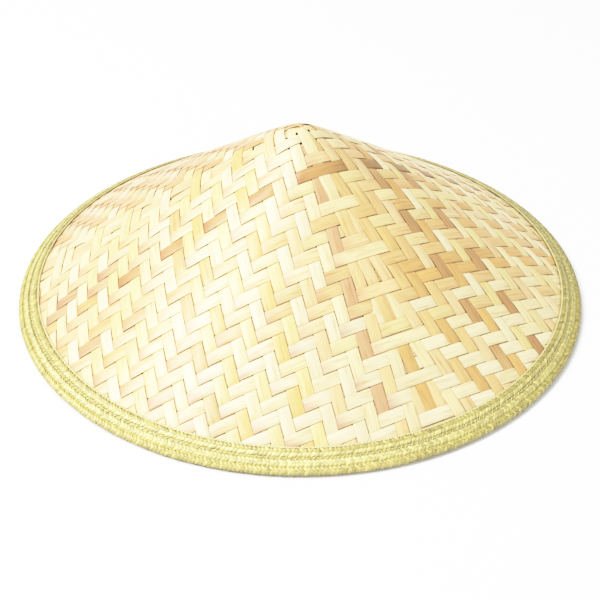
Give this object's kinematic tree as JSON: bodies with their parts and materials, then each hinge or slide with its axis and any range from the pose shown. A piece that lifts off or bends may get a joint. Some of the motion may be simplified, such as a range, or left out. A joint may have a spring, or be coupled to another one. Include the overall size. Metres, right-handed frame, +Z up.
{
  "type": "conical bamboo hat",
  "caption": "Wide conical hat woven from flat bamboo splits, hollow underneath, its rim bound in plaited straw braid.",
  "frame": {"origin": "the point under the tip, on the plane that the rim rests on", "axes": "+Z up through the tip; -Y is the front, as the hat is pictured"},
  "size_m": [0.4, 0.4, 0.1336],
  "materials": {
    "bamboo_splits": "dry split bamboo, satin",
    "straw_braid": "plaited yellow-green straw"
  },
  "bodies": {
    "root": {"woven_cone": "bamboo_splits", "edge_braid": "straw_braid", "inner_braid": "straw_braid"}
  },
  "joints": []
}
